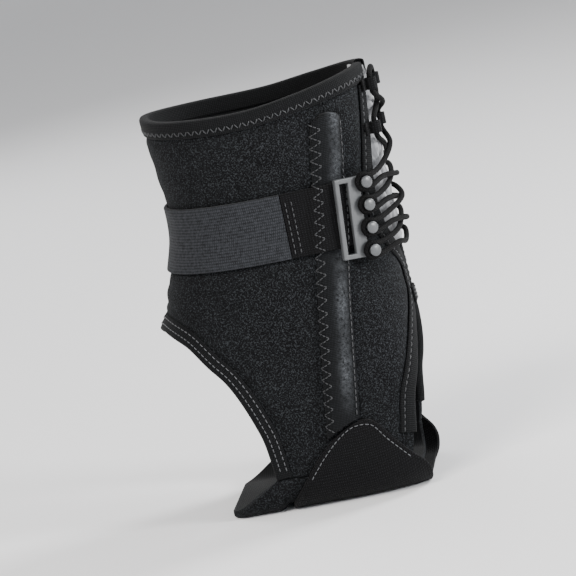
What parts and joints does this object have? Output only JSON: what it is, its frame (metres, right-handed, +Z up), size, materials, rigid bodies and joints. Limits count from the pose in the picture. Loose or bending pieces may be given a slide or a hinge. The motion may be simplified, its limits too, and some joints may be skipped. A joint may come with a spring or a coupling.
{
  "type": "lace-up ankle brace",
  "caption": "Black lace-up ankle brace with side stays, grey elastic strap, lacing plates at the back, open heel and a strap under the foot.",
  "frame": {"origin": "on the floor, under the middle of the brace's bounding box", "axes": "+Z up the leg, +X towards the heel and the lacing, -X towards the toes, +Y towards the far side"},
  "size_m": [0.121, 0.0882, 0.1856],
  "materials": {
    "laminate": "matte",
    "tape": "matte",
    "elastic": "matte",
    "webbing": "matte",
    "plastic": "satin",
    "tongue": "matte",
    "cord": "matte"
  },
  "bodies": {
    "root": {"front_panel": "laminate", "rear_panel_near": "laminate", "rear_panel_far": "laminate", "sole_panel": "laminate", "foot_strap": "webbing", "stay_channel_near": "tape", "stay_channel_far": "tape", "top_binding": "tape", "foot_opening_binding": "tape", "back_binding_near": "tape", "back_binding_far": "tape", "elastic_strap": "elastic", "strap_tab_near": "webbing", "strap_tab_far": "webbing", "lacing_plate_near": "plastic", "lacing_plate_far": "plastic", "lace_loop_near_upper": "webbing", "lace_loop_far_upper": "webbing", "lace_loop_near_lower": "webbing", "lace_loop_far_lower": "webbing", "heel_seam_tack": "webbing", "lace_gusset": "tongue", "lace": "cord"}
  },
  "joints": []
}
